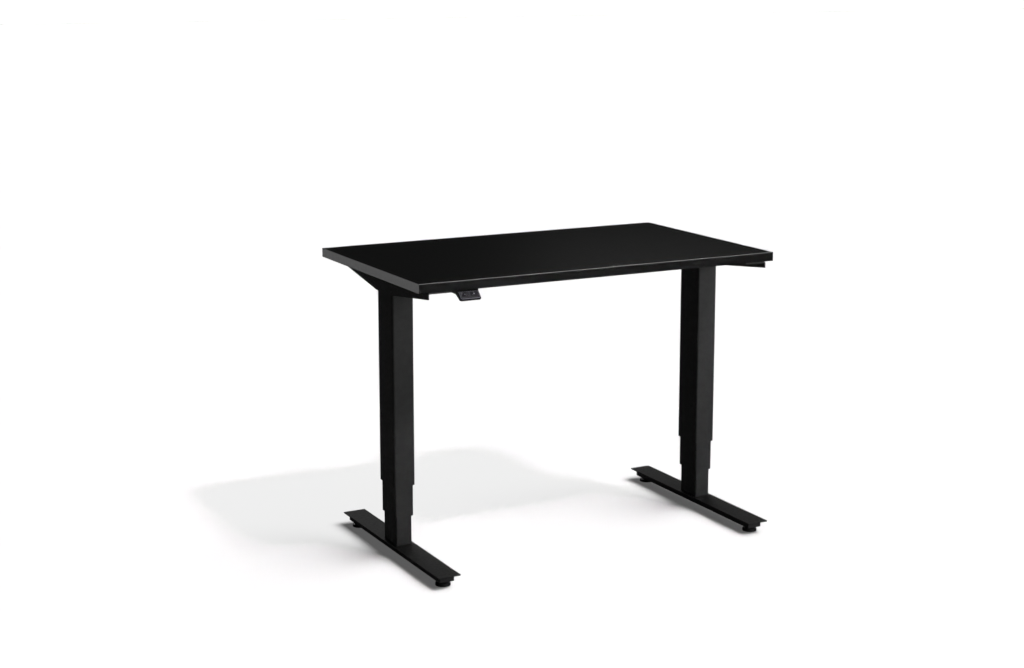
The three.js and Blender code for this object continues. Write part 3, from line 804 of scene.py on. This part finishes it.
def vent_slots(middle, bottom):
    """Two rows of round-ended slots through the tray's floor."""
    slots = []
    for row in (-1, 1):
        for i in range(VENT_SLOTS):
            x = middle.x + (i - (VENT_SLOTS - 1) / 2) * VENT_PITCH
            y = middle.y + row * VENT_ROW
            low = (x - 1.2 * MM, y - 12 * MM, bottom - MM)
            high = (x + 1.2 * MM, y + 12 * MM, bottom + 4 * MM)
            slot = block(low, high)
            round_edges(slot, edges_along(slot, Z), 1.15 * MM, 4)
            slots.append(slot)
    return slots


def build_control_box():
    low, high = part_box("control_box_cover")
    middle = (low + high) / 2
    tray = block(low, high)
    round_edges(tray, edges_along(tray, Z), 6 * MM, 6)
    round_edges(tray, edges_of(facing(tray, Z, -1)), 1.6 * MM, 4)
    inner = Vector((BOX_WALL, BOX_WALL, BOX_WALL))
    hollow = block(low + inner, high - inner + Vector((0, 0, 2 * BOX_WALL)))
    round_edges(hollow, edges_along(hollow, Z), 4 * MM, 6)
    opening = inlet_opening(0.3 * MM, 3 * BOX_WALL)
    tray = cut(tray, joined(hollow, opening, *vent_slots(middle, low.z)))
    moulding("control_box_tray", tray, "control_box_cover", smooth=30)
    plate = rounded_block(*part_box("control_box_plate"), 0.3 * MM, 6 * MM)
    coated("control_box_lid", plate, "control_box_plate")
    for side, x in (("left", low.x + BOX_SCREW_INSET), ("right", high.x - BOX_SCREW_INSET)):
        for end, y in (("front", low.y + BOX_SCREW_INSET), ("rear", high.y - BOX_SCREW_INSET)):
            screw(f"control_box_screw_{end}_{side}", BOX_SCREW, (x, y, low.z))


# %% [markdown]
# The inlet is the usual three-pin shape with two upper corners cut off. The opening, the shroud and its
# hollow all come from one helper, grown or shrunk by a margin.

# %% Mains inlet
INLET_HALF_WIDTH = 12 * MM
INLET_HALF_HEIGHT = 9 * MM
INLET_CHAMFER = 4 * MM
SHROUD_WALL = 2 * MM


def inlet_prism(half_width, half_height, chamfer, y_low, y_high, centre):
    bm = block((-half_width, y_low, -half_height), (half_width, y_high, half_height))
    upper = [e for e in edges_along(bm, Y) if e.verts[0].co.z > 0]
    round_edges(bm, upper, chamfer, 1)
    lower = [e for e in edges_along(bm, Y) if e.verts[0].co.z < -half_height + 1e-5]
    round_edges(bm, lower, 1.2 * MM, 3)
    return placed(bm, (centre.x, 0, centre.z))


def inlet_opening(margin, depth):
    low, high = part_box("mains_inlet")
    centre = (low + high) / 2
    wall_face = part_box("control_box_cover")[1].y
    return inlet_prism(INLET_HALF_WIDTH + margin, INLET_HALF_HEIGHT + margin, INLET_CHAMFER,
                       wall_face - depth, high.y + MM, centre)


def build_inlet():
    low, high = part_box("mains_inlet")
    centre = (low + high) / 2
    flange_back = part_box("control_box_cover")[1].y + 0.3 * MM
    flange = rounded_block(
        (low.x, flange_back, low.z), (high.x, high.y, high.z), 0.4 * MM, 3 * MM, Y)
    shroud = inlet_prism(INLET_HALF_WIDTH, INLET_HALF_HEIGHT, INLET_CHAMFER, low.y, flange_back + MM, centre)
    hollow = inlet_prism(INLET_HALF_WIDTH - SHROUD_WALL, INLET_HALF_HEIGHT - SHROUD_WALL, 3.4 * MM,
                         low.y + SHROUD_WALL, high.y + MM, centre)
    moulding("mains_socket", cut(fused(flange, shroud), hollow), "mains_inlet", smooth=30)
    for name, x, z in (("live", -7, -2), ("earth", 0, 2), ("neutral", 7, -2)):
        middle = Vector((centre.x + x * MM, 0, centre.z + z * MM))
        pin = rounded_block(
            (middle.x - MM, low.y + MM, middle.z - 2 * MM),
            (middle.x + MM, low.y + 11 * MM, middle.z + 2 * MM), 0.3 * MM)
        piece(f"{name}_pin", pin, turned_steel, "upper", "bright_steel")


build_control_box()
build_inlet()
tally("control box and inlet")

# %% [markdown]
# ## Handset
# The handset hangs under the front edge, with two keys on a sloping face. Its housing is drawn as a
# side view and pushed out to its width, and its lower edges are then rounded, as a moulding's would be.
# A pocket behind the face makes room for the keys.

# %% Handset housing
FACE_TILT = math.radians(45)
FACE_OUTWARD = Vector((0, -math.sin(FACE_TILT), math.cos(FACE_TILT)))
FACE_HALF = 12 * MM
FACE_LIP = 2.5 * MM
FACE_SEAT = -2.3 * MM
HANDSET_DEPTH = 10 * MM


def face_frame():
    """The matrix that tilts a flat part on to the face, whose outer surface is its z = 0."""
    low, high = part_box("handset_fascia")
    y = low.y + math.cos(FACE_TILT) * (FACE_HALF - FACE_LIP)
    centre = Vector(((low.x + high.x) / 2, y, high.z - math.sin(FACE_TILT) * FACE_HALF))
    return Matrix.Translation(centre) @ Matrix.Rotation(FACE_TILT, 4, "X")


def on_face(bm):
    bmesh.ops.transform(bm, matrix=face_frame(), verts=bm.verts)
    return bm


def build_housing():
    low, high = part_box("handset_housing")
    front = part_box("edge_band_front")[0].y
    under = high.z + 0.3 * MM - HANDSET_DEPTH
    slope = [face_frame() @ Vector((0, up, out)) for up, out in (
        (FACE_HALF, FACE_SEAT), (-FACE_HALF, FACE_SEAT), (-FACE_HALF, FACE_SEAT - 3 * MM))]
    outline = [(high.y, high.z), (front + 2 * MM, high.z)]
    outline += [(point.y, point.z) for point in slope]
    outline += [(front + HANDSET_DEPTH, under), (high.y, under)]
    bm = bmesh.new()
    side = bm.faces.new([bm.verts.new((low.x, y, z)) for y, z in outline])
    push(bm, [side], (high.x - low.x, 0, 0))
    bmesh.ops.recalc_face_normals(bm, faces=bm.faces)
    level = slope[1].z + 0.5 * MM
    lower = [
        e for e in sharp_edges(bm) if all(v.co.z < level for v in e.verts)
        and abs(e.verts[0].co.x - e.verts[1].co.x) < 1e-6 and e.verts[0].co.y < high.y - MM
    ]
    round_edges(bm, lower, 5 * MM, 6)
    round_edges(bm, sharp_edges(bm, 50), 0.6 * MM, 2)
    pocket = block((-23 * MM, -3.5 * MM, FACE_SEAT - 4 * MM), (23 * MM, 10.5 * MM, 5 * MM))
    body = moulding("handset_body", cut(bm, on_face(pocket)), "handset_housing", smooth=30)
    refinish(body, lip_plastic, lambda normal: normal.dot(FACE_OUTWARD) > 0.5)


build_housing()

# %% [markdown]
# The parts on the face are made flat, in the face's own frame, and tilted on to it together. One helper
# shapes both the keys and, with a margin, the openings that they move in.

# %% Handset face and keys
FACE_CORNER = 7 * MM
KEYS = (("down", -1), ("up", 1))
KEY_PITCH = 24 * MM
KEY_UP = 3.5 * MM
KEY_DEPTH = 4.4 * MM
KEY_RISE = 0.4 * MM
KEY_GAP = 0.3 * MM


def build_face():
    low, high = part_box("handset_housing")
    half = (high.x - low.x) / 2 - FACE_LIP
    plate = block((-half, FACE_LIP - FACE_HALF, -2 * MM), (half, FACE_HALF, 0))
    lower = [e for e in edges_along(plate, Z) if e.verts[0].co.y < 0]
    round_edges(plate, lower, FACE_CORNER - FACE_LIP, 8)
    round_edges(plate, edges_of(facing(plate, Z, 1)), 1.7 * MM, 4)
    openings = joined(*(key_shape(sx, KEY_GAP, -3 * MM, MM) for _, sx in KEYS))
    fascia = on_face(cut(plate, openings))
    face = piece("handset_face", fascia, fascia_plastic, "upper", "fascia_plastic", "handset_fascia",
                 smooth=30)
    refinish(face, lip_plastic, lambda normal: normal.dot(FACE_OUTWARD) < 0.2)
    # Painted highlight: the bevel round the face gets a paler colour.
    refinish(face, rim_highlight_paint, lambda normal: 0.2 < normal.dot(FACE_OUTWARD) < 0.97)


def build_key(name, sx):
    button = f"{name}_button"
    key = key_shape(sx, 0, -KEY_DEPTH, KEY_RISE)
    round_edges(key, sharp_edges(key), 0.5 * MM, 3)
    piece(f"{name}_key", on_face(key), fascia_plastic, button, "black_plastic", button)
    piece(f"{name}_arrow", on_face(arrow(sx)), printed_mark, button, "black_plastic")


def key_shape(sx, margin, z_low, z_high):
    x = sx * KEY_PITCH / 2
    half_x, half_y = 8.5 * MM + margin, 6 * MM + margin
    bm = block((x - half_x, KEY_UP - half_y, z_low), (x + half_x, KEY_UP + half_y, z_high))
    round_edges(bm, edges_along(bm, Z), 3 * MM + margin, 5)
    return bm


def arrow(sx):
    """A plain three-cornered mark, point up on the right key and down on the left one."""
    turn = Matrix.Rotation(math.pi if sx < 0 else 0, 4, "Z")
    return placed(prism(3, 2.5, 0.08), (sx * KEY_PITCH / 2, KEY_UP, 0.44 * MM), turn)


build_face()
for name, sx in KEYS:
    build_key(name, sx)
tally("handset")

# %% [markdown]
# ## Cables
# Three cables run under the board, and every one ends in something: a motor, the handset or the control
# box. Each follows listed points, as a fitter would lay it, on one smooth curve. Saddle clips hold them
# up, ribbed boots guard them at the motors, and plugs end them at the box.

# %% Cables
CABLE_RADIUS = 2.5 * MM
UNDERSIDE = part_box("edge_band_front")[0].z
PLUG_BELOW = 20 * MM


def cable(name, points, node):
    """A round cable along points given as (x, y, distance of its middle below the board)."""
    curve = bpy.data.curves.new(name, "CURVE")
    curve.dimensions = "3D"
    curve.resolution_u = 10
    curve.bevel_depth = CABLE_RADIUS
    curve.bevel_resolution = 4
    curve.use_fill_caps = True
    spline = curve.splines.new("BEZIER")
    spline.bezier_points.add(len(points) - 1)
    for knot, (x, y, below) in zip(spline.bezier_points, points):
        knot.co = (x, y, UNDERSIDE - below)
        knot.handle_left_type = knot.handle_right_type = "AUTO"
    path = bpy.data.objects.new(name, curve)
    bpy.context.scene.collection.objects.link(path)
    mesh = bpy.data.meshes.new_from_object(path)
    bpy.data.objects.remove(path)
    bm = bmesh.new()
    bm.from_mesh(mesh)
    bmesh.ops.remove_doubles(bm, verts=bm.verts, dist=1e-6)
    piece(name, bm, sheath, "upper", "cable_sheath", node)


def saddle_clip(name, x, y, turn):
    """A stick-on pad with an arch over the cable."""
    pad = rounded_block((-9 * MM, -6 * MM, -1.4 * MM), (9 * MM, 6 * MM, -0.2 * MM), 0.3 * MM, 2 * MM)
    arch = rounded_block((-4.6 * MM, -3.5 * MM, -7.8 * MM), (4.6 * MM, 3.5 * MM, -1 * MM), 0.3 * MM,
                         3 * MM, Y)
    moulding(name, placed(joined(pad, arch), (x, y, UNDERSIDE), Matrix.Rotation(turn, 4, "Z")))


def boot(name, place, along):
    """A ribbed, tapered strain relief, widest where it leaves the housing."""
    profile = [(0, 0), (5.6, 0), (5.6, 1.6)]
    for i in range(4):
        z = 2 + 2.4 * i
        radius = 4.8 - 0.35 * i
        profile += [(radius - 0.8, z), (radius - 0.8, z + 0.8), (radius, z + 1), (radius, z + 2)]
    profile += [(2.9, 12.4), (0, 12.4)]
    moulding(name, placed(turned(profile, 28), place, along))


def plug(name, x, y, sx):
    """A flat moulded plug pushed into the side of the control box."""
    z = UNDERSIDE - PLUG_BELOW
    xs = sorted((x, x + sx * 15 * MM))
    body = rounded_block((xs[0], y - 6 * MM, z - 4 * MM), (xs[1], y + 6 * MM, z + 4 * MM), 0.5 * MM,
                         1.5 * MM, X)
    moulding(name, body)


# %% [markdown]
# The two motor cables mirror each other. Each drops from its motor's end bell, turns along the board and
# comes into the side of the control box. The handset's cable runs straight back first, then across.

# %% Cable routes
def build_cables():
    column_y = sum(c.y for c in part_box("outer_tube_left")) / 2
    box_low, box_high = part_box("control_box_cover")
    for side, sx in SIDES:
        motor_low, motor_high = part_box(f"motor_{side}")
        face = outer_and_inner_x(f"motor_{side}", sx)[1]
        motor_z = (motor_low.z + motor_high.z) / 2
        below = (UNDERSIDE - motor_z) / MM
        start = sx * face / MM - 0.8
        end = box_high.x / MM + 0.8
        route = [
            (start, 0, below), (start - 12, 0, below), (start - 26, 0, below - 5),
            (start - 40, 2, below - 15), (start - 54, 8, 4.5), (start - 68, 26, 4),
            (start - 76, 50, 4), (start - 88, 78, 5), (end + 44, 98, 11), (end + 18, 104, 19),
            (end, 104, 20),
        ]
        points = [(sx * x * MM, column_y + y * MM, below_board * MM) for x, y, below_board in route]
        cable(f"{side}_motor_lead", points, f"motor_cable_{side}")
        boot(f"{side}_motor_boot", (face, column_y, motor_z), along_x(sx))
        plug(f"{side}_motor_plug", sx * box_high.x, points[-1][1], sx)
        saddle_clip(f"{side}_motor_lead_clip", points[6][0], points[6][1], 0.3 * sx)
    build_handset_lead(box_low)


def build_handset_lead(box_low):
    low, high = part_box("handset_housing")
    x = (low.x + high.x) / 2 / MM
    start = high.y / MM + 0.8
    end = box_low.x / MM - 0.8
    route = [
        (x, start, 6), (x, start + 14, 6), (x + 4, start + 32, 5), (x + 18, start + 62, 4),
        (x + 52, start + 92, 4), (x + 100, start + 110, 4), (x + 146, start + 126, 4),
        (x + 176, start + 156, 4), (x + 186, start + 196, 4), (x + 192, start + 236, 4),
        (x + 204, start + 258, 9), (end - 14, start + 266, 18), (end, start + 266, 20),
    ]
    points = [(px * MM, py * MM, below * MM) for px, py, below in route]
    cable("handset_lead", points, "handset_cable")
    boot("handset_boot", (x * MM, high.y, UNDERSIDE - 6 * MM), Matrix.Rotation(-math.pi / 2, 4, "X"))
    plug("handset_plug", box_low.x, points[-1][1], -1)
    for number, knot, turn in ((1, 3, -0.6), (2, 5, 1.15), (3, 8, 0.15)):
        saddle_clip(f"handset_lead_clip_{number}", points[knot][0], points[knot][1], turn)


build_cables()
tally("cables")

# %% [markdown]
# ## Screws
# The frame goes together with domed screws: wood screws up through the bracket flanges into the board,
# bolts through each head plate, and bolts up through each channel into the column's foot. They are one
# shape at a few sizes, so a helper makes them and loops place them.

# %% Screws
BOARD_SCREW_INSETS = (22, 96, 150)
BOARD_SCREW_X = 16 * MM
PLATE_BOLT_INSET = 15 * MM
PLATE_BOLT_X = 15 * MM
FOOT_BOLT = Vector((11 * MM, 24 * MM, 0))


def build_board_screws(side, sx):
    low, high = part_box(f"side_bracket_{side}")
    x = outer_and_inner_x(f"side_bracket_{side}", sx)[1] + sx * BOARD_SCREW_X
    for number, inset in enumerate(BOARD_SCREW_INSETS, 1):
        for end, y in (("front", low.y + inset * MM), ("rear", high.y - inset * MM)):
            place = (x, y, high.z - BRACKET_SHEET)
            screw(f"{side}_{end}_board_screw_{number}", BOARD_SCREW, place)


def build_bolts(side):
    tube_low, tube_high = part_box(f"outer_tube_{side}")
    middle = (tube_low + tube_high) / 2
    low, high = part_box(f"head_plate_{side}")
    for end, y in (("front", low.y + PLATE_BOLT_INSET), ("rear", high.y - PLATE_BOLT_INSET)):
        for row, x in ((1, middle.x - PLATE_BOLT_X), (2, middle.x + PLATE_BOLT_X)):
            screw(f"{side}_{end}_plate_bolt_{row}", BOLT, (x, y, low.z))
    channel_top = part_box(f"foot_channel_{side}")[1].z - CHANNEL_SHEET
    for end, y in (("front", middle.y - FOOT_BOLT.y), ("rear", middle.y + FOOT_BOLT.y)):
        for row, x in ((1, middle.x - FOOT_BOLT.x), (2, middle.x + FOOT_BOLT.x)):
            screw(f"{side}_{end}_foot_bolt_{row}", BOLT, (x, y, channel_top), body="base")


for side, sx in SIDES:
    build_board_screws(side, sx)
    build_bolts(side)
tally("screws and bolts")

# %% [markdown]
# ## Parts that hide inside
# The drive is out of sight: a gearbox, two screws one in the other, their nuts and the nylon glides.
# Their solids have the right shape already, so they only need their finishes.

# %% Finishes for the solids that stay
INNER_FINISHES = {
    "gearbox": cast_alloy, "upper_screw": turned_steel, "hollow_screw": turned_steel,
    "upper_nut": acetal, "lower_nut": acetal, "outer_glide": nylon, "middle_glide": nylon,
}


def finish_solid(node, finish):
    mesh = frame["nodes"][node].data
    mesh.materials.clear()
    mesh.materials.append(finish)


for side, _ in SIDES:
    for part, finish in INNER_FINISHES.items():
        finish_solid(f"{part}_{side}", finish)
finish_solid("control_circuit_board", solder_mask)
shown = [name for name, node in frame["nodes"].items() if not node.hide_render]
print("solids left showing:", sorted(shown))

# %% [markdown]
# ## Studio
# The floor and the backdrop are one clean white. A floor that is lit a little beyond white loses every
# blemish and still darkens in a shadow. Only the camera sees it as white: to the desk it is dark, which
# keeps the black paint black.

# %% Floor and world
FLOOR_GLOW = 0.1
FLOOR_COLOUR = 0.36
FLOOR_BOUNCE = 0.03
WORLD_LIGHT = 0.008


def shader(tree, kind, colour, strength=None):
    node = tree.nodes.new(kind)
    node.inputs["Color"].default_value = (*grey(colour), 1)
    if strength is not None:
        node.inputs["Strength"].default_value = strength
    return node.outputs[0]


def one_look_for_the_camera(tree, seen, otherwise, output):
    """Mixes two shaders, the first for what the camera sees and the second for all other rays."""
    rays = tree.nodes.new("ShaderNodeLightPath")
    choice = tree.nodes.new("ShaderNodeMixShader")
    tree.links.new(rays.outputs["Is Camera Ray"], choice.inputs["Fac"])
    tree.links.new(otherwise, choice.inputs[1])
    tree.links.new(seen, choice.inputs[2])
    tree.links.new(choice.outputs[0], tree.nodes[output].inputs["Surface"])


def build_floor():
    bm = bmesh.new()
    bmesh.ops.create_grid(bm, x_segments=1, y_segments=1, size=40)
    mesh = bpy.data.meshes.new("floor")
    bm.to_mesh(mesh)
    bm.free()
    made = bpy.data.objects.new("floor", mesh)
    bpy.context.scene.collection.objects.link(made)
    paint = bpy.data.materials.new("floor_paint")
    paint.use_nodes = True
    tree = paint.node_tree
    tree.nodes.remove(tree.nodes["Principled BSDF"])
    lit = tree.nodes.new("ShaderNodeAddShader")
    tree.links.new(shader(tree, "ShaderNodeEmission", 1, FLOOR_GLOW), lit.inputs[0])
    tree.links.new(shader(tree, "ShaderNodeBsdfDiffuse", FLOOR_COLOUR), lit.inputs[1])
    dark = shader(tree, "ShaderNodeBsdfDiffuse", FLOOR_BOUNCE)
    one_look_for_the_camera(tree, lit.outputs[0], dark, "Material Output")
    mesh.materials.append(paint)
    return made


def build_world():
    world = bpy.data.worlds.new("studio")
    world.use_nodes = True
    tree = world.node_tree
    backdrop = shader(tree, "ShaderNodeBackground", 1, 1.2)
    ambient = shader(tree, "ShaderNodeBackground", 1, WORLD_LIGHT)
    one_look_for_the_camera(tree, backdrop, ambient, "World Output")
    bpy.context.scene.world = world


floor = build_floor()
build_world()
bpy.context.scene.view_settings.view_transform = "Standard"

# %% [markdown]
# Each lamp has one job, as in a product studio where flags and screens keep a lamp off what it should
# not touch. Here a lamp can be told what it lights and what may block it. A sun's spread is how wide it
# looks, in degrees, and a wide one has a soft shadow.

# %% Kinds of lamp
def group(name, members):
    made = bpy.data.collections.new(name)
    for member in members:
        made.objects.link(member)
    return made


def lamp(name, kind, energy, towards, lights, blocked_by=None):
    made = bpy.data.objects.new(name, bpy.data.lights.new(name, kind))
    made.data.energy = energy
    made.rotation_euler = Vector(towards).to_track_quat("-Z", "Y").to_euler()
    made.visible_camera = False
    made.light_linking.receiver_collection = lights
    made.light_linking.blocker_collection = blocked_by
    bpy.context.scene.collection.objects.link(made)
    return made


def sun(name, energy, towards, spread, lights, blocked_by=None):
    made = lamp(name, "SUN", energy, towards, lights, blocked_by)
    made.data.angle = math.radians(spread)


def softbox(name, energy, towards, place, size, lights):
    made = lamp(name, "AREA", energy, towards, lights)
    made.location = place
    made.data.size = size


# %% [markdown]
# The main lamp throws the board's shadow on the floor, a very wide one grounds the feet with a short
# dark shadow, and a softbox in front lights the columns. Weaker ones are for the foot plates, the ends
# of the board, its arrises and the sheen on its top, and one from behind shows the back of the frame.

# %% Lamps
def pieces_on(*words):
    return [o for o in bpy.data.objects if "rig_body" in o and any(w in o.name for w in words)]


DESK = [o for o in bpy.data.objects if "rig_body" in o]
PLATES = pieces_on("_foot_plate")
BANDS = pieces_on("edge_band")
NOT_THE_PLATES = [o for o in DESK if o not in PLATES]
NOT_THE_BANDS = [o for o in DESK if o not in BANDS]
FRAME = [o for o in NOT_THE_PLATES if o not in BANDS + pieces_on("board_panel", "handset")]
FOOT_SHADOWS = group("foot_shadows", pieces_on("foot", "levelling", "inner_tube"))

sun("main_lamp", 2, (-0.37, 0.63, -1), 6, group("main_lit", [floor] + NOT_THE_PLATES))
sun("foot_lamp", 7.9, (-0.6, 0.2, -1), 50, group("foot_lit", [floor]), FOOT_SHADOWS)
sun("plate_lamp", 0.3, (-0.3, -0.8, -0.8), 30, group("plates", PLATES))
softbox("front_lamp", 60, (-1.5, 3.2, -0.7), (1.6, -3.2, 1.3), 1.6, group("not_the_bands", NOT_THE_BANDS))
sun("end_lamp", 18, (1, -0.1, -0.05), 20, group("board_ends", pieces_on("left_edge", "right_edge")))
sun("arris_lamp", 6, (-0.46, 0.16, -0.86), 20, group("arrises", BANDS))
softbox("top_lamp", 0.5, (-0.4, -0.7, -0.8), (0.9, 0.9, 1.6), 0.8,
        group("board_top", pieces_on("board_panel")))
sun("rear_lamp", 1.2, (-0.35, -1, -0.3), 25, group("seen_from_behind", FRAME))
print("lamps:", len(bpy.data.lights))
